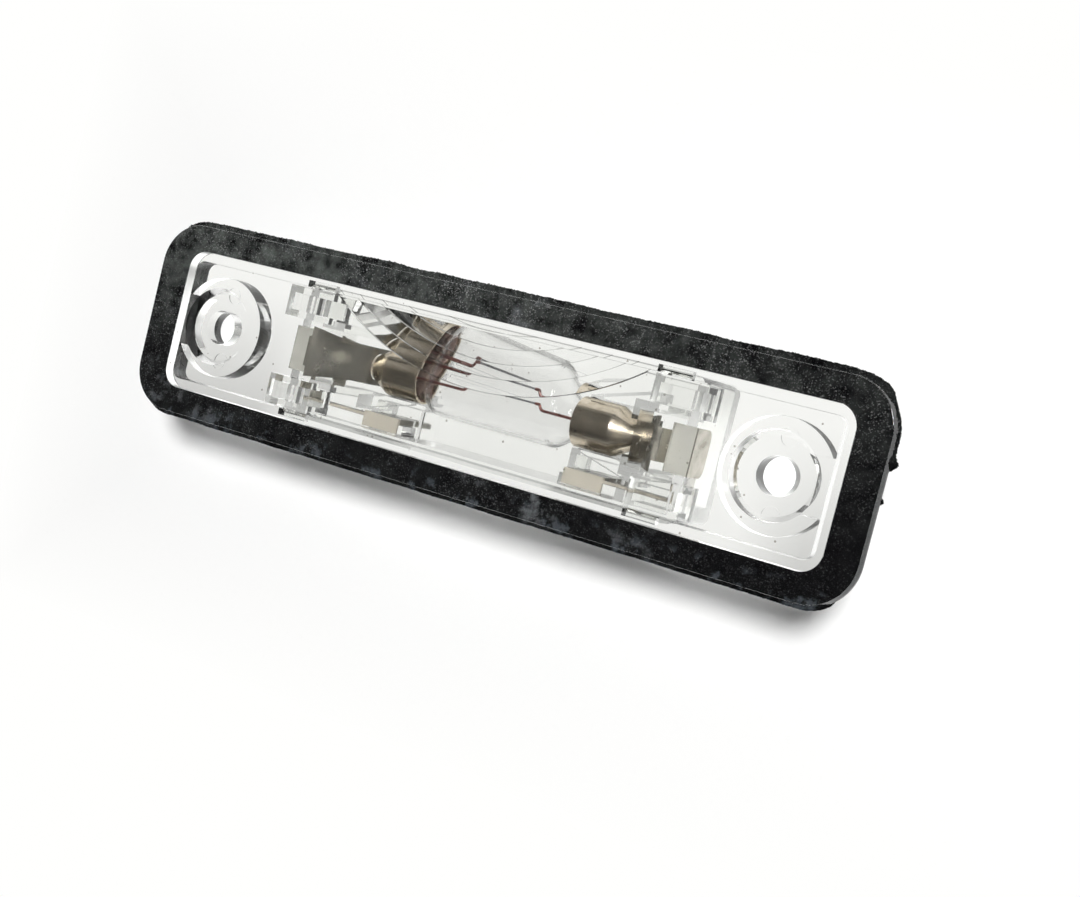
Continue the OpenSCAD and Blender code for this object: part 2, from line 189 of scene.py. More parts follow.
def build_scratches():
    """Fine hairlines, where a stretched noise crosses its middle level."""
    group, enter, leave = new_mask_group("scratches", {
        "Scale": 200.0, "Stretch": 14.0, "Turn": 0.5, "Width": 0.006})
    middle_level = 0.5
    turned = add(group, "ShaderNodeVectorRotate", {"Vector": enter["Vector"], "Angle": enter["Turn"]},
                 rotation_type="Z_AXIS")
    x, y, z = split(group, turned.outputs[0])
    squeezed = add(group, "ShaderNodeCombineXYZ", {0: x, 1: product(group, y, enter["Stretch"]), 2: z})
    lines = add(group, "ShaderNodeTexNoise", {
        "Vector": squeezed.outputs[0], "Scale": enter["Scale"], "Detail": 2.0})
    offset = math_node(group, "ABSOLUTE", math_node(group, "SUBTRACT", lines.outputs[0], middle_level))
    thin = math_node(group, "LESS_THAN", offset, enter["Width"])
    group.links.new(thin, leave["Mask"])
    return group


SPECKS = build_specks()
BLOTCHES = build_blotches()
SCRATCHES = build_scratches()


def use_group(tree, group, place, values):
    return add(tree, "ShaderNodeGroup", {"Vector": place, **values}, node_tree=group).outputs[0]


# Clear mouldings and glass

# The prism arcs behind the plate share one middle. Each steps in by one pitch from the largest.
PRISM_MIDDLE_Y = 43.9 * MM
PRISM_RADIUS = 43.2 * MM
PRISM_PITCH = 2.17 * MM
PRISM_COUNT = 4
PRISM_TOP_Y = 10.2 * MM
PLATE_BACK_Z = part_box("gasket")[1].z

# Painted dark lines at the prism steps, standing in for the shade that refraction at the steps makes: half a
# line's width and the room past the outer arcs, both in pitches
EDGE_HALF_WIDTH = 0.035
EDGE_ROOM = 0.1
EDGE_PLAY_Z = 0.02 * MM
# The painted shade of those lines
STEP_PAINTED_SHADE = (0.42, 0.42, 0.41)

FILM_SHARE = 0.975
HAIR_DEPTH = 0.02 * MM
PLASTIC_IOR = 1.49
GLASS_IOR = 1.5


def prism_step_painted_shade(tree, place):
    """Painted shade: thin dark lines on the back of the plate and on the prisms, where one step ends and the
    next begins, standing in for the refraction there.
    """
    x, y, z = split(tree, place)
    reach = distance_of(tree, x, math_node(tree, "SUBTRACT", y, PRISM_MIDDLE_Y))
    step = math_node(tree, "DIVIDE", math_node(tree, "SUBTRACT", PRISM_RADIUS, reach), PRISM_PITCH)
    middle_step = PRISM_COUNT / 2
    in_arcs = math_node(tree, "COMPARE", step, middle_step, middle_step + EDGE_ROOM)
    to_whole_step = math_node(tree, "PINGPONG", step, 0.5)
    thin = math_node(tree, "LESS_THAN", to_whole_step, EDGE_HALF_WIDTH)
    behind_plate = math_node(tree, "LESS_THAN", z, PLATE_BACK_Z + EDGE_PLAY_Z)
    below_top = math_node(tree, "LESS_THAN", y, PRISM_TOP_Y)
    return product(tree, thin, in_arcs, behind_plate, below_top)


def clear_moulding(name, tint, dust_tint, dust_share, haze, lets_through, ior, painted_step_shade=None):
    """Real refraction for the eye, and open to the lamps so that what is behind stays lit."""
    material, tree, out, place = new_material(name)
    dust = use_group(tree, SPECKS, place, {"Cells per metre": 420.0, "Size": 0.07, "Share": dust_share})
    film = use_group(tree, BLOTCHES, place, {"Scale": 130.0, "From": 0.35, "To": 0.8})
    hairs = use_group(tree, SCRATCHES, place, {
        "Scale": 60.0, "Stretch": 22.0, "Turn": 0.9, "Width": 0.0016})
    color = mix_color(tree, film, tint, darker(tint, FILM_SHARE))
    color = mix_color(tree, dust, color, dust_tint)
    if painted_step_shade:
        # Painted shade at the prism steps, laid over the plastic's colour
        color = mix_color(tree, painted_step_shade(tree, place), color, STEP_PAINTED_SHADE)
    bump = add(tree, "ShaderNodeBump", {"Strength": 0.05, "Distance": HAIR_DEPTH, "Height": hairs})
    body = add(tree, "ShaderNodeBsdfPrincipled", {
        "Base Color": color, "Roughness": product(tree, film, haze), "IOR": ior,
        "Transmission Weight": 1.0, "Normal": bump.outputs[0]})
    open_to_light = add(tree, "ShaderNodeBsdfTransparent", {
        "Color": (lets_through, lets_through, lets_through, 1)})
    path = add(tree, "ShaderNodeLightPath")
    mix = add(tree, "ShaderNodeMixShader", {
        0: path.outputs["Is Shadow Ray"], 1: body.outputs[0], 2: open_to_light.outputs[0]})
    tree.links.new(mix.outputs[0], out.inputs["Surface"])
    return material


# Metals

# Places on the right contact. The left one is its mirror image.
CONTACT_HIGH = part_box("contact_right")[1]
LEAF_TO_X = 30.2 * MM
LEAF_FADE = 1.5 * MM
# A painted reflection on the leaf: a pale round spot standing in for the cap's tip mirrored in it
SPOT_X, SPOT_Y, SPOT_RADIUS = 25.7 * MM, 0.3 * MM, 0.9 * MM
BRIDGE_INSET = 0.25 * MM
BRIDGE_LENGTH = 3.3 * MM
BRIDGE_TO_X = CONTACT_HIGH.x - BRIDGE_INSET
BRIDGE_FROM_X = BRIDGE_TO_X - BRIDGE_LENGTH
BRIDGE_FROM_Z, BRIDGE_TO_Z = 0.2 * MM, 0.8 * MM
BRIDGE_SOFT = 0.15 * MM
TAB_FROM_Y, TAB_TO_Y = -12 * MM, -5 * MM
TAB_FROM_Z, TAB_TO_Z = -3.6 * MM, -2.5 * MM
TAB_SOFT = 0.1 * MM

# Painted shade: the leaf's darker, mottled colour stands in for the dark inside of the lamp that it mirrors
LEAF_SHADED_DARK, LEAF_SHADED_PALE = (0.12, 0.115, 0.10), (0.23, 0.22, 0.19)
# Colour and ramp of the painted reflection on the leaf
PAINTED_REFLECTION_TINT = (0.50, 0.48, 0.40)
PAINTED_REFLECTION_RAMP = (SPOT_RADIUS * 1.4, SPOT_RADIUS * 0.5, 0.0, 0.7)
# Painted sheen: the bridge is pale and dull in place of the bright reflection it shows; the tab's pale oxide
# is its own
BRIDGE_PAINTED_SHEEN = (0.26, 0.255, 0.23)
TAB_OXIDE = (0.27, 0.25, 0.21)
OXIDE_AND_SHEEN_ROUGHNESS = 0.5
OXIDE_AND_SHEEN_DULLNESS = 0.8
LEAF_DULLNESS = 0.26

PIT_SHARE = 0.35
LINE_DEPTH = 0.01 * MM
QUARTER_TURN = 1.57


def contact_oxide_and_painted_light(tree, place, color, rough):
    """Painted shade darkening and mottling the leaf, a painted reflection spot on it, a painted sheen on the
    bridge, and pale oxide on the tab.
    """
    x, y, z = split(tree, place)
    from_middle = math_node(tree, "ABSOLUTE", x)
    on_leaf = ramp_to(tree, from_middle, LEAF_TO_X, LEAF_TO_X - LEAF_FADE)
    shade = use_group(tree, BLOTCHES, place, {"Scale": 260.0, "From": 0.3, "To": 0.75})
    # Painted shade on the leaf
    color = mix_color(tree, on_leaf, color, mix_color(tree, shade, LEAF_SHADED_DARK, LEAF_SHADED_PALE))
    # Painted reflection of the cap's tip on the leaf
    from_painted_reflection = distance_of(tree, math_node(tree, "SUBTRACT", from_middle, SPOT_X),
                            math_node(tree, "SUBTRACT", y, SPOT_Y))
    color = mix_color(tree, ramp_to(tree, from_painted_reflection, *PAINTED_REFLECTION_RAMP), color, PAINTED_REFLECTION_TINT)
    # Painted sheen on the bridge, and pale oxide on the tab
    on_bridge = product(tree, within(tree, from_middle, BRIDGE_FROM_X, BRIDGE_TO_X, BRIDGE_SOFT),
                        within(tree, z, BRIDGE_FROM_Z, BRIDGE_TO_Z, BRIDGE_SOFT))
    on_tab = product(tree, within(tree, y, TAB_FROM_Y, TAB_TO_Y, TAB_SOFT),
                     within(tree, z, TAB_FROM_Z, TAB_TO_Z, TAB_SOFT))
    color = mix_color(tree, on_bridge, color, BRIDGE_PAINTED_SHEEN)
    color = mix_color(tree, on_tab, color, TAB_OXIDE)
    pale = math_node(tree, "MAXIMUM", on_bridge, on_tab)
    rough = math_node(tree, "MAXIMUM", rough, product(tree, pale, OXIDE_AND_SHEEN_ROUGHNESS))
    dullness = math_node(tree, "MAXIMUM", product(tree, pale, OXIDE_AND_SHEEN_DULLNESS),
                         product(tree, on_leaf, LEAF_DULLNESS))
    metallic = math_node(tree, "SUBTRACT", 1.0, dullness)
    return color, rough, metallic


def plated_metal(name, bright, dull, smooth, rough, grain_turn, wear_and_painted_light=None):
    """Bright metal with a cloudy tarnish, fine rolling lines and small dark pits."""
    material, tree, out, place = new_material(name)
    clouds = use_group(tree, BLOTCHES, place, {"Scale": 420.0, "From": 0.38, "To": 0.72})
    pits = use_group(tree, SPECKS, place, {"Cells per metre": 2600.0, "Size": 0.16, "Share": 0.07})
    lines = use_group(tree, SCRATCHES, place, {
        "Scale": 500.0, "Stretch": 18.0, "Turn": grain_turn, "Width": 0.02})
    color = mix_color(tree, clouds, bright, dull)
    roughness = ramp_to(tree, clouds, 0.0, 1.0, smooth, rough)
    metallic = 1.0
    # Optional marks, which on the contact strip include painted shade, a painted reflection and a painted
    # sheen
    if wear_and_painted_light:
        color, roughness, metallic = wear_and_painted_light(tree, place, color, roughness)
    color = mix_color(tree, pits, color, darker(dull, PIT_SHARE))
    bump = add(tree, "ShaderNodeBump", {"Strength": 0.12, "Distance": LINE_DEPTH, "Height": lines})
    body = add(tree, "ShaderNodeBsdfPrincipled", {
        "Base Color": color, "Roughness": roughness, "Metallic": metallic,
        "Normal": bump.outputs[0]})
    tree.links.new(body.outputs[0], out.inputs["Surface"])
    return material


# Cement and foam

GRIT_PER_CLOUD = 6

# Bands over the foam: from one place to another, with the level at the first and at the second
FILM_TO_PRISMS = (-6 * MM, 12 * MM, 0.12, 1.0)
FILM_TO_LEFT = (52 * MM, -30 * MM, 0.25, 1.0)
GRAIN_TO_PRISMS = (-6 * MM, 12 * MM, 0.3, 1.0)
GRAIN_TO_LEFT = (50 * MM, 5 * MM, 0.5, 1.0)
RUBBED_EDGE = (-11.8 * MM, -14.6 * MM, 0.0, 0.7)

FOAM_BLACK, FOAM_FILM = (0.002, 0.002, 0.0024), (0.074, 0.081, 0.076)
GLUE_TINT = (0.07, 0.074, 0.078)
RUBBED_TINT = (0.058, 0.066, 0.075)
GRAIN_TINT = (0.24, 0.24, 0.24)
GRAINS_PER_METRE = 6400.0
GRAIN_FROM = 0.55
CELLS_PER_METRE = 1500.0
CELL_DEPTH = 0.12 * MM


def grainy_solid(name, first, second, scale, rough, depth):
    """Dull grainy stuff such as cement: two tones and a rough surface."""
    material, tree, out, place = new_material(name)
    clouds = use_group(tree, BLOTCHES, place, {"Scale": scale, "From": 0.35, "To": 0.7})
    grit = add(tree, "ShaderNodeTexNoise", {
        "Vector": place, "Scale": scale * GRIT_PER_CLOUD, "Detail": 3.0})
    bump = add(tree, "ShaderNodeBump", {
        "Strength": 0.5, "Distance": depth, "Height": grit.outputs[0]})
    body = add(tree, "ShaderNodeBsdfPrincipled", {
        "Base Color": mix_color(tree, clouds, first, second), "Roughness": rough,
        "Normal": bump.outputs[0]})
    tree.links.new(body.outputs[0], out.inputs["Surface"])
    return material


def foam_material():
    """Black cut foam: fine light grains, dull smears of old glue and pale rubbed patches."""
    material, tree, out, place = new_material("black_foam")
    x, y, _ = split(tree, place)
    film = use_group(tree, BLOTCHES, place, {"Scale": 420.0, "From": 0.34, "To": 0.68})
    film = product(tree, film, ramp_to(tree, y, *FILM_TO_PRISMS), ramp_to(tree, x, *FILM_TO_LEFT))
    glue = use_group(tree, BLOTCHES, place, {"Scale": 320.0, "From": 0.52, "To": 0.66})
    smears = use_group(tree, BLOTCHES, place, {"Scale": 85.0, "From": 0.54, "To": 0.64})
    rubbed = use_group(tree, BLOTCHES, place, {"Scale": 380.0, "From": 0.55, "To": 0.64})
    rubbed = product(tree, rubbed, ramp_to(tree, y, *RUBBED_EDGE))
    color = mix_color(tree, film, FOAM_BLACK, FOAM_FILM)
    color = mix_color(tree, product(tree, glue, smears), color, GLUE_TINT)
    color = mix_color(tree, rubbed, color, RUBBED_TINT)
    grains = add(tree, "ShaderNodeTexVoronoi", {"Vector": place, "Scale": GRAINS_PER_METRE})
    chance = add(tree, "ShaderNodeSeparateColor", {0: grains.outputs["Color"]})
    bright = ramp_to(tree, chance.outputs[0], GRAIN_FROM, 1.0)
    crowd = use_group(tree, BLOTCHES, place, {"Scale": 170.0, "From": 0.32, "To": 0.70})
    sparkle = product(tree, bright, bright, bright, crowd, ramp_to(tree, y, *GRAIN_TO_PRISMS),
                      ramp_to(tree, x, *GRAIN_TO_LEFT))
    color = mix_color(tree, sparkle, color, GRAIN_TINT)
    cells = add(tree, "ShaderNodeTexVoronoi", {"Vector": place, "Scale": CELLS_PER_METRE})
    bump = add(tree, "ShaderNodeBump", {
        "Strength": 0.8, "Distance": CELL_DEPTH, "Height": cells.outputs["Distance"]})
    body = add(tree, "ShaderNodeBsdfPrincipled", {
        "Base Color": color, "Roughness": 0.92, "Specular IOR Level": 0.0,
        "Normal": bump.outputs[0]})
    tree.links.new(body.outputs[0], out.inputs["Surface"])
    return material


# Finishes of the lamp's pieces

# The lens carries the painted shade lines at its prism steps
lens_plastic = clear_moulding(
    "clear_lens_plastic", tint=(0.994, 0.998, 0.988), dust_tint=(0.30, 0.28, 0.25), dust_share=0.55,
    haze=0.015, lets_through=0.90, ior=PLASTIC_IOR, painted_step_shade=prism_step_painted_shade)
carrier_plastic = clear_moulding(
    "clear_carrier_plastic", tint=(0.992, 0.996, 0.985), dust_tint=(0.45, 0.43, 0.40), dust_share=0.2,
    haze=0.04, lets_through=0.62, ior=PLASTIC_IOR)
bulb_glass = clear_moulding(
    "blown_bulb_glass", tint=(0.99, 0.99, 0.99), dust_tint=(0.6, 0.6, 0.6), dust_share=0.01,
    haze=0.01, lets_through=0.97, ior=GLASS_IOR)
contact_metal = plated_metal(
    "tinned_contact_strip", bright=(0.40, 0.38, 0.33), dull=(0.24, 0.22, 0.18),
    smooth=0.16, rough=0.32, grain_turn=QUARTER_TURN, wear_and_painted_light=contact_oxide_and_painted_light)
cap_metal = plated_metal(
    "nickel_cap", bright=(0.76, 0.68, 0.56), dull=(0.50, 0.42, 0.31),
    smooth=0.16, rough=0.30, grain_turn=QUARTER_TURN)
solder = plated_metal(
    "dull_solder", bright=(0.62, 0.61, 0.59), dull=(0.45, 0.44, 0.42),
    smooth=0.28, rough=0.45, grain_turn=0.3)
lead_metal = plated_metal(
    "copper_lead_wire", bright=(0.30, 0.14, 0.12), dull=(0.16, 0.07, 0.07),
    smooth=0.3, rough=0.5, grain_turn=0.0)
filament_metal = plated_metal(
    "tungsten_coil", bright=(0.20, 0.20, 0.21), dull=(0.11, 0.11, 0.12),
    smooth=0.35, rough=0.5, grain_turn=0.0)
cement = grainy_solid(
    "lamp_cement", (0.12, 0.075, 0.06), (0.06, 0.038, 0.033), scale=900.0, rough=0.85, depth=0.05 * MM)
foam = foam_material()

FINISHES = {
    "lens": lens_plastic, "bulb_carrier": carrier_plastic, "gasket": foam,
    "contact_left": contact_metal, "contact_right": contact_metal, "bulb_glass": bulb_glass,
    "bulb_cap_left": cap_metal, "bulb_cap_right": cap_metal,
    "cap_cement_left": cement, "cap_cement_right": cement,
    "solder_tip_left": solder, "solder_tip_right": solder,
    "lead_wire_left": lead_metal, "lead_wire_right": lead_metal, "filament": filament_metal,
}
for name, finish in FINISHES.items():
    set_material(nodes[name], finish)


# Foam gasket with a ragged cut edge, torn back at its right end. This section works in millimetres.

FLANGE_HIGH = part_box("lens")[1]
HALF_X, HALF_Y = FLANGE_HIGH.x / MM, FLANGE_HIGH.y / MM
GASKET_LOW, GASKET_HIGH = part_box("gasket")
FOAM_DEPTH = (GASKET_HIGH.z - GASKET_LOW.z) / MM
BAND_X, BAND_Y = 5.2, 4.2
HOLE_PLAY = 0.05
CORNER_OUT, CORNER_IN = 7.0, 3.15
BONDED = 0.015
POINTS_AROUND = 5000
LEVELS = (0.0, 0.08, 0.25, 0.45, 0.65, 0.85, 1.0)

# Layers of noise in each texture of the cut foam: waves per mm, height and a shift along X
SLOW_WAVE = ((0.16, 1.0, 0),)
ROUGH_CUT = ((1.3, 0.5, 0), (3.1, 0.35, 7), (7.5, 0.22, 0))
FIBRES = ((5.2, 0.5, 0), (11.0, 0.5, 0))
HOLE_SCALE, HOLE_ROUGHNESS = 1.9, 0.08

# How far an edge stands out: a steady part, then its shares of the wave, the rough cut and the fibres
SIDE_EDGE = (0.12, 0.12, 0.12, 0.14)
PRISM_EDGE = (0.58, 0.22, 0.22, 0.26)
END_CORNER = (0.5, 0.0, 0.3, 0.3)
LOW_SIDE_EXTRA = 0.26

# Over which distances in from the flange's edge one kind of edge gives way to the next
PRISM_SIDE_BAND = (3.2, 0.6)
LOW_SIDE_BAND = (3.0, 0.5)
END_BAND = (6.0, 2.0)
LOW_CORNER = 3.0

# The torn end at the back face and what it gains up to the flange, and where the foam is still in place
TORN_AWAY, TORN_GAIN = -1.15, 0.75
LEFT_IN_PLACE, LEFT_GAIN = -0.42, 0.6
LEFT_FROM_Y, LEFT_TO_Y = 3.6, 5.2
END_ROUGH, END_FIBRES = 0.12, 0.35

# Lumps that stand out of the torn end: how far, where along Y, half width, level and loss by level
LUMPS = ((0.7, 4.9, 1.2, 0.45, 1.1), (0.8, 0.2, 0.7, 0.6, 1.3))


def ring_point(share, half_x, half_y, radius):
    """Point and outward direction at a share of the way round a rectangle with round corners."""
    straight_x, straight_y = 2 * (half_x - radius), 2 * (half_y - radius)
    arc = math.pi * radius / 2
    along = share * (2 * straight_x + 2 * straight_y + 4 * arc)
    corners = [(1, 1), (-1, 1), (-1, -1), (1, -1)]
    steps = [(straight_y, (0, 1)), (straight_x, (-1, 0)), (straight_y, (0, -1)), (straight_x, (1, 0))]
    start = Vector((half_x, -(half_y - radius)))
    for (side_x, side_y), (length, way) in zip(corners, steps):
        direction = Vector(way)
        outward = Vector((direction.y, -direction.x))
        if along <= length:
            return start + direction * along, outward
        along -= length
        middle = Vector((side_x * (half_x - radius), side_y * (half_y - radius)))
        if along <= arc:
            angle = math.atan2(outward.y, outward.x) + along / radius
            outward = Vector((math.cos(angle), math.sin(angle)))
            return middle + outward * radius, outward
        along -= arc
        start = middle + direction * radius
    return start, Vector((1, 0))


def bump_at(value, middle, half_width):
    return max(0.0, 1.0 - ((value - middle) / half_width) ** 2)


def blend(value, low, high):
    share = max(0.0, min(1.0, (value - low) / (high - low)))
    return share * share * (3 - 2 * share)


def between(first, second, share):
    return first * (1 - share) + second * share


def near_edge(inset, band):
    """0 where a place lies further in from an edge than the band, and 1 where it lies outside it."""
    far, close = band
    return blend(-inset, -far, -close)


def layered_noise(spot, layers):
    return sum(height * noise.noise(spot * scale + Vector((shift, 0, 0))) for scale, height, shift in layers)


def foam_textures(x, y, level):
    """The slow wave, the rough cut and the fibres at one place of the cut edge."""
    spot = Vector((x, y, level * FOAM_DEPTH))
    return [layered_noise(spot, layers) for layers in (SLOW_WAVE, ROUGH_CUT, FIBRES)]


def ragged(edge, textures):
    steady, *shares = edge
    return steady + sum(share * texture for share, texture in zip(shares, textures))


def torn_end(y, level, textures):
    """The right end, torn back from the flange, with foam left in place towards the prisms."""
    _, rough, fibres = textures
    torn = TORN_AWAY + TORN_GAIN * level
    left = LEFT_IN_PLACE + LEFT_GAIN * level
    offset = between(torn, left, blend(y, LEFT_FROM_Y, LEFT_TO_Y))
    for size, middle_y, half_width, middle_level, loss in LUMPS:
        lump = size * bump_at(y, middle_y, half_width) * (1 - abs(level - middle_level) * loss)
        offset += max(0.0, lump)
    return offset + END_ROUGH * rough + END_FIBRES * fibres


def edge_offset(x, y, level):
    """How far the cut foam stands past the flange, or below 0 how far it lies back from its edge."""
    textures = foam_textures(x, y, level)
    from_low_side = HALF_Y + y
    near_prisms = near_edge(HALF_Y - y, PRISM_SIDE_BAND)
    near_end = near_edge(HALF_X - x, END_BAND) * blend(from_low_side, 0, LOW_CORNER)
    low_side = LOW_SIDE_EXTRA * near_edge(from_low_side, LOW_SIDE_BAND)
    long_edge = between(ragged(SIDE_EDGE, textures) + low_side, ragged(PRISM_EDGE, textures), near_prisms)
    end_edge = between(torn_end(y, level, textures), ragged(END_CORNER, textures), near_prisms)
    return between(long_edge, end_edge, near_end)


def hole_offset(x, y, level):
    spot = Vector((x, y, level * FOAM_DEPTH))
    return HOLE_ROUGHNESS * abs(noise.noise(spot * HOLE_SCALE))


def make_gasket():
    """A ring of foam with a ragged outer edge, pressed flat and stuck to the back of the flange."""
    bottom, top = GASKET_LOW.z / MM, GASKET_HIGH.z / MM + BONDED
    hole_x, hole_y = HALF_X - BAND_X + HOLE_PLAY, HALF_Y - BAND_Y + HOLE_PLAY
    mesh = bmesh.new()
    rows = []
    for index in range(POINTS_AROUND):
        share = index / POINTS_AROUND
        outer, outer_way = ring_point(share, HALF_X, HALF_Y, CORNER_OUT)
        inner, inner_way = ring_point(share, hole_x, hole_y, CORNER_IN)
        section = [(outer + outer_way * edge_offset(outer.x, outer.y, level), level) for level in LEVELS]
        section += [(inner + inner_way * hole_offset(inner.x, inner.y, level), level)
                    for level in reversed(LEVELS)]
        rows.append([mesh.verts.new(Vector((place.x, place.y, bottom + (top - bottom) * level)) * MM)
                     for place, level in section])
    count = len(rows[0])
    for here, there in zip(rows, rows[1:] + rows[:1]):
        for first in range(count):
            second = (first + 1) % count
            mesh.faces.new((here[first], there[first], there[second], here[second]))
    bmesh.ops.recalc_face_normals(mesh, faces=mesh.faces)
    data = bpy.data.meshes.new("gasket_foam")
    mesh.to_mesh(data)
    mesh.free()
    obj = link_object("gasket_foam", data)
    set_material(obj, foam)
    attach(obj, "root")
    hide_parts("gasket")


# Lens with the second prism a little shallower

# The second prism's angle in the solid, and the share of its depth that is left
SECOND_PRISM_ANGLE = math.radians(31)
SECOND_PRISM_SHARE = 0.86
PRISM_DEPTH = PRISM_PITCH * math.tan(SECOND_PRISM_ANGLE)
PRISM_PLAY = 0.01 * MM

# How far a face's normal points backwards where the face is a prism's slope, and not its step
SLOPE_FROM_Z, SLOPE_TO_Z = -0.97, -0.7

MERGE_DISTANCE = 0.0005 * MM
MATCH_DISTANCE = 0.002 * MM


def from_arc_middle(place):
    return Vector((place.x, place.y - PRISM_MIDDLE_Y, 0))


def in_second_prism(place):
    """Whether a place lies between one and two steps in from the largest arc."""
    step = (PRISM_RADIUS + PRISM_PLAY - from_arc_middle(place).length) / PRISM_PITCH
    return 1 <= step < 2 and place.y < PRISM_TOP_Y


def corners_of(mesh):
    """Each face with its corners' numbers and places."""
    for face in mesh.polygons:
        for corner in face.loop_indices:
            yield face, corner, mesh.vertices[mesh.loops[corner].vertex_index].co


def corner_key(place, face):
    return tuple(round(value / MATCH_DISTANCE) for value in (*place, *face.center))


def make_lens():
    """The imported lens, with the second prism face eased so that it lets the eye through."""
    packed = nodes["lens"].data
    rounded = {}
    for face, corner, place in corners_of(packed):
        rounded[corner_key(place, face)] = packed.corner_normals[corner].vector.copy()
    mesh = bmesh.new()
    mesh.from_mesh(packed)
    bmesh.ops.remove_doubles(mesh, verts=mesh.verts, dist=MERGE_DISTANCE)
    data = bpy.data.meshes.new("lens_with_prisms")
    mesh.to_mesh(data)
    mesh.free()
    slope = math.tan(SECOND_PRISM_ANGLE) * SECOND_PRISM_SHARE
    normals = []
    for face, _, place in corners_of(data):
        normal = rounded.get(corner_key(place, face), face.normal)
        if in_second_prism(face.center) and SLOPE_FROM_Z < face.normal.z < SLOPE_TO_Z:
            outward = from_arc_middle(place).normalized()
            normal = (-slope * outward + Vector((0, 0, -1))).normalized()
        normals.append(normal)
    for vert in data.vertices:
        depth = PLATE_BACK_Z - vert.co.z
        if in_second_prism(vert.co) and PRISM_PLAY < depth < PRISM_DEPTH + PRISM_PLAY:
            vert.co.z = PLATE_BACK_Z - depth * SECOND_PRISM_SHARE
    data.normals_split_custom_set(normals)
    obj = link_object("lens_with_prisms", data)
    set_material(obj, lens_plastic)
    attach(obj, "root")
    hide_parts("lens")


# Filament coil

WIRE_RADIUS = 0.035 * MM
TURN_PITCH = 0.13 * MM


def build_coil_tree():
    """A wire wound round a line along X, with its turns, length, radii and place as inputs."""
    tree = bpy.data.node_groups.new("filament_coil", "GeometryNodeTree")
    for label, kind, value in (("Turns", "NodeSocketFloat", 30.0), ("Length", "NodeSocketFloat", 10 * MM),
                               ("Coil radius", "NodeSocketFloat", 0.3 * MM),
                               ("Wire radius", "NodeSocketFloat", 0.05 * MM),
                               ("Place", "NodeSocketVector", (0.0, 0.0, 0.0))):
        socket = tree.interface.new_socket(label, in_out="INPUT", socket_type=kind)
        socket.default_value = value
    tree.interface.new_socket("Geometry", in_out="OUTPUT", socket_type="NodeSocketGeometry")
    enter = add(tree, "NodeGroupInput").outputs
    leave = add(tree, "NodeGroupOutput").inputs
    helix = add(tree, "GeometryNodeCurveSpiral", {
        "Resolution": 12, "Rotations": enter["Turns"], "Start Radius": enter["Coil radius"],
        "End Radius": enter["Coil radius"], "Height": enter["Length"]})
    half_back = add(tree, "ShaderNodeCombineXYZ", {2: product(tree, enter["Length"], -0.5)})
    centred = add(tree, "GeometryNodeTransform", {
        "Geometry": helix.outputs[0], "Translation": half_back.outputs[0]})
    lying = add(tree, "GeometryNodeTransform", {
        "Geometry": centred.outputs[0], "Translation": enter["Place"],
        "Rotation": (0.0, math.pi / 2, 0.0)})
    section = add(tree, "GeometryNodeCurvePrimitiveCircle", {
        "Resolution": 6, "Radius": enter["Wire radius"]})
    wire = add(tree, "GeometryNodeCurveToMesh", {
        "Curve": lying.outputs[0], "Profile Curve": section.outputs[0], "Fill Caps": True})
    real = add(tree, "GeometryNodeRealizeInstances", {0: wire.outputs[0]})
    finish = add(tree, "GeometryNodeSetMaterial", {
        "Geometry": real.outputs[0], "Material": filament_metal})
    tree.links.new(finish.outputs[0], leave["Geometry"])
    return tree


def grow(name, tree, values):
    """Runs a geometry tree on an empty mesh and keeps the result as a plain mesh."""
    holder = link_object(name + "_source", bpy.data.meshes.new(name + "_source"))
    modifier = holder.modifiers.new("shape", "NODES")
    modifier.node_group = tree
    for item in tree.interface.items_tree:
        if item.in_out == "INPUT" and item.name in values:
            modifier[item.identifier] = values[item.name]
    result = holder.evaluated_get(bpy.context.evaluated_depsgraph_get())
    data = bpy.data.meshes.new_from_object(result)
    bpy.data.objects.remove(holder, do_unlink=True)
    data.name = name
    return link_object(name, data)


def make_filament():
    """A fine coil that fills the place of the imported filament, between the two lead wires."""
    low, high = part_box("filament")
    length = high.x - low.x - 2 * WIRE_RADIUS
    coil = grow("filament_coil", build_coil_tree(), {
        "Turns": length / TURN_PITCH, "Length": length, "Wire radius": WIRE_RADIUS,
        "Coil radius": (high.z - low.z) / 2 - WIRE_RADIUS, "Place": (low + high) / 2})
    set_material(coil, filament_metal)
    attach(coil, "root")
    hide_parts("filament")


# Floor

FLOOR_REACH = 1.2
FLOOR_COLOR = (0.985, 0.985, 0.98, 1)
SEEN_COLOR = (1.0, 1.0, 0.99, 1)
SEEN_THROUGH_COLOR = (1.0, 1.0, 0.98, 1)
MIRRORED_SHARE = 0.2

# Over which distance past the lamp its shadow gives way to white for the eye
SHADOW_TO_WHITE = (6 * MM, 42 * MM)

# Painted shadow on the floor as seen through the lamp: how bright it looks through the lamp's ends and
# middle, darker towards -Y along Y, and where along X the ends and middle part
PAINTED_SHADOW_UNDER_ENDS = (-15 * MM, 8 * MM, 0.62, 1.0)
PAINTED_SHADOW_UNDER_MIDDLE = (-15 * MM, 0 * MM, 0.92, 1.0)
MIDDLE_TO_ENDS = (38 * MM, 48 * MM)


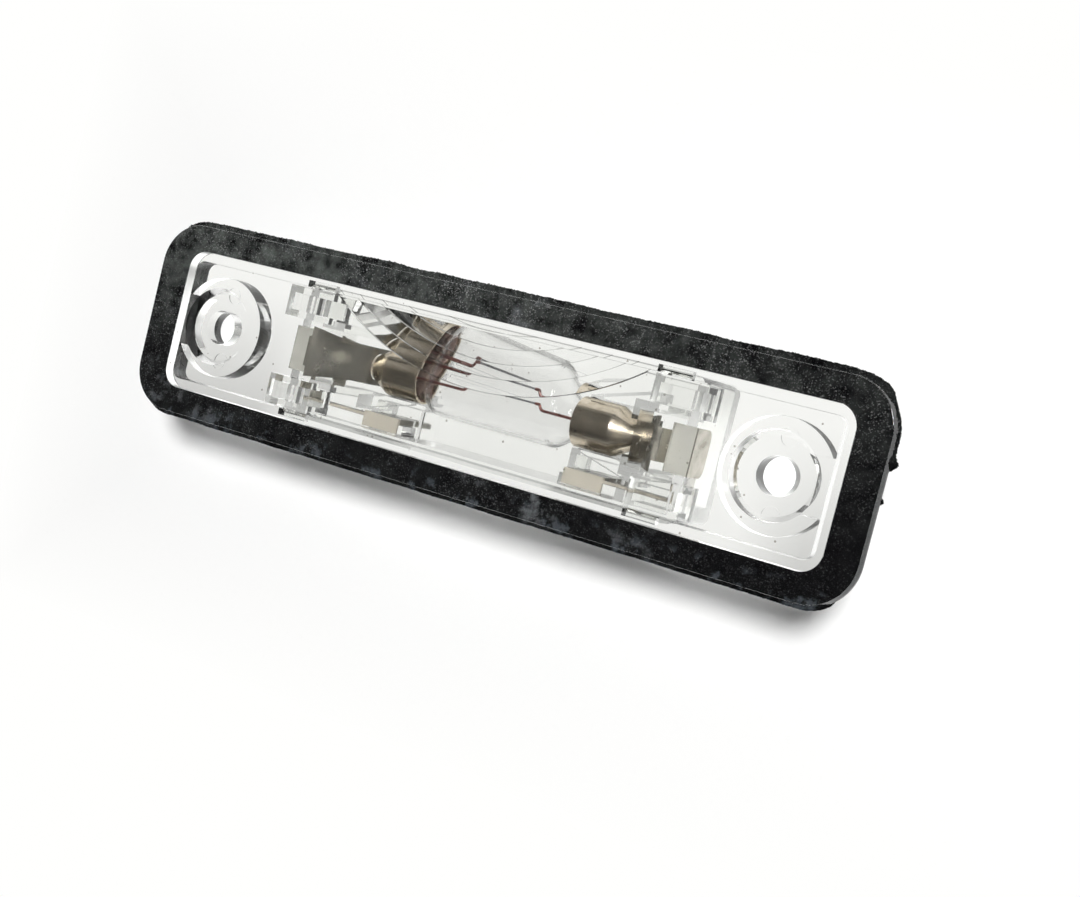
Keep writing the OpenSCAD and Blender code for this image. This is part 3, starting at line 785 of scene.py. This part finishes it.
def make_floor():
    """Pale floor: white to the eye past the lamp's shadow, and through the lamp a bright sheet with a painted
    shadow, darker towards -Y.
    """
    low, high = cad_box
    mesh = bpy.data.meshes.new("floor")
    corners = [(-1, -1), (1, -1), (1, 1), (-1, 1)]
    mesh.from_pydata([(x * FLOOR_REACH, y * FLOOR_REACH, low[2]) for x, y in corners], [], [(0, 1, 2, 3)])
    floor = link_object("floor", mesh)
    material, tree, out, place = new_material("pale_floor")
    x, y, _ = split(tree, place)
    from_middle = math_node(tree, "ABSOLUTE", x)
    beside_x = math_node(tree, "SUBTRACT", from_middle, high[0])
    beside_y = math_node(tree, "SUBTRACT", math_node(tree, "ABSOLUTE", y), high[1])
    past_shadow = ramp_to(tree, math_node(tree, "MAXIMUM", beside_x, beside_y), *SHADOW_TO_WHITE)
    # Painted shadow under the lamp, seen through its clear parts
    painted_shadow_through_lamp = add(tree, "ShaderNodeMix", {
        0: ramp_to(tree, from_middle, *MIDDLE_TO_ENDS), 2: ramp_to(tree, y, *PAINTED_SHADOW_UNDER_MIDDLE),
        3: ramp_to(tree, y, *PAINTED_SHADOW_UNDER_ENDS)})
    matt = add(tree, "ShaderNodeBsdfDiffuse", {"Color": FLOOR_COLOR})
    seen = add(tree, "ShaderNodeEmission", {"Color": SEEN_COLOR, "Strength": 1.0})
    # The floor's glow through the lamp, graded by the painted shadow
    seen_through = add(tree, "ShaderNodeEmission", {
        "Color": SEEN_THROUGH_COLOR, "Strength": painted_shadow_through_lamp.outputs[0]})
    path = add(tree, "ShaderNodeLightPath")
    mirrored = math_node(tree, "GREATER_THAN", path.outputs["Glossy Depth"], 0.5)
    to_eye = product(tree, path.outputs["Is Camera Ray"], past_shadow)
    plain = add(tree, "ShaderNodeMixShader", {
        0: math_node(tree, "MAXIMUM", to_eye, product(tree, mirrored, MIRRORED_SHARE)),
        1: matt.outputs[0], 2: seen.outputs[0]})
    bounced = math_node(tree, "ADD", mirrored, path.outputs["Diffuse Depth"])
    straight = math_node(tree, "SUBTRACT", path.outputs["Is Transmission Ray"], bounced, clamp=True)
    both = add(tree, "ShaderNodeMixShader", {
        0: straight, 1: plain.outputs[0], 2: seen_through.outputs[0]})
    tree.links.new(both.outputs[0], out.inputs["Surface"])
    set_material(floor, material)


# Camera, light and room

CAMERA_PLACE = Vector((0.10028, 0.00637, 0.18092))
CAMERA_RIGHT = Vector((0.8641, 0.2427, -0.4410)).normalized()
CAMERA_BACK = Vector((0.4412, 0.0563, 0.8956)).normalized()
SENSOR_WIDTH = 36.0
FOCAL_LENGTH = 47.56
CLIP_START, CLIP_END = 0.005, 10.0

KEY_DISTANCE = 1.2
KEY_DIRECTION = Vector((0.40, 0.31, 1.0)).normalized()
KEY_SIZE = 0.30
KEY_LEVEL = 0.96

# The room is dark where its height is great. The height counts as more towards the viewer and
# the left, and as less towards the prisms. The ramp goes from the dark height to the white one.
ROOM_TO_VIEWER = 0.6
ROOM_TO_LEFT = 0.25
ROOM_TO_PRISMS = 0.3
ROOM_RAMP = (0.93, 0.2, 0.05, 0.95)
FILL_LEVEL = 0.07
WHITE = (1, 1, 1, 1)


def make_camera():
    """The photo's view, from above the lamp's right end."""
    up = CAMERA_BACK.cross(CAMERA_RIGHT).normalized()
    right = up.cross(CAMERA_BACK).normalized()
    data = bpy.data.cameras.new("camera")
    data.sensor_width = SENSOR_WIDTH
    data.lens = FOCAL_LENGTH
    data.clip_start = CLIP_START
    data.clip_end = CLIP_END
    camera = link_object("camera", data)
    rotation = Matrix((right, up, CAMERA_BACK)).transposed().to_4x4()
    camera.matrix_world = Matrix.Translation(CAMERA_PLACE) @ rotation
    bpy.context.scene.camera = camera


def make_key_light():
    """A round lamp, of a power at which a flat matt surface below it shows about its own colour."""
    data = bpy.data.lights.new("key_light", "AREA")
    data.shape = "DISK"
    data.size = KEY_SIZE
    data.energy = KEY_LEVEL * math.pi * math.pi * KEY_DISTANCE ** 2 / KEY_DIRECTION.z
    light = link_object("key_light", data)
    place = KEY_DIRECTION * KEY_DISTANCE
    turn = (-place).to_track_quat("-Z", "Y").to_matrix().to_4x4()
    light.matrix_world = Matrix.Translation(place) @ turn


def make_world():
    """White to the eye, a dim fill for matt surfaces, and a room for gloss and glass.

    The room is dark overhead and behind the viewer, and white low down.
    """
    world = bpy.data.worlds.new("studio")
    bpy.context.scene.world = world
    world.use_nodes = True
    tree = world.node_tree
    tree.nodes.clear()
    out = add(tree, "ShaderNodeOutputWorld")
    path = add(tree, "ShaderNodeLightPath")
    x, y, z = split(tree, add(tree, "ShaderNodeTexCoord").outputs["Generated"])
    to_viewer = product(tree, math_node(tree, "MAXIMUM", x, 0.0), ROOM_TO_VIEWER)
    to_left = product(tree, math_node(tree, "MINIMUM", x, 0.0), ROOM_TO_LEFT)
    to_ends = math_node(tree, "SUBTRACT", to_viewer, to_left)
    height = math_node(tree, "SUBTRACT", math_node(tree, "ADD", z, to_ends), product(tree, y, ROOM_TO_PRISMS))
    fill = add(tree, "ShaderNodeBackground", {"Color": WHITE, "Strength": FILL_LEVEL})
    room = add(tree, "ShaderNodeBackground", {
        "Color": WHITE, "Strength": ramp_to(tree, height, *ROOM_RAMP)})
    white = add(tree, "ShaderNodeBackground", {"Color": WHITE, "Strength": 1.0})
    clear_or_glossy = math_node(tree, "MAXIMUM", path.outputs["Is Glossy Ray"],
                                path.outputs["Is Transmission Ray"])
    sharp = math_node(tree, "SUBTRACT", clear_or_glossy, path.outputs["Diffuse Depth"], clamp=True)
    unseen = add(tree, "ShaderNodeMixShader", {0: sharp, 1: fill.outputs[0], 2: room.outputs[0]})
    mix = add(tree, "ShaderNodeMixShader", {
        0: path.outputs["Is Camera Ray"], 1: unseen.outputs[0], 2: white.outputs[0]})
    tree.links.new(mix.outputs[0], out.inputs["Surface"])


# The scene

make_gasket()
make_lens()
make_filament()
make_floor()
make_camera()
make_world()
make_key_light()

# Light passes many clear walls before it leaves the lamp
CLEAR_BOUNCES = 20
SHADOW_BOUNCES = 24

scene = bpy.context.scene
scene.cycles.max_bounces = CLEAR_BOUNCES
scene.cycles.transmission_bounces = CLEAR_BOUNCES
scene.cycles.transparent_max_bounces = SHADOW_BOUNCES
scene.view_settings.view_transform = "Standard"
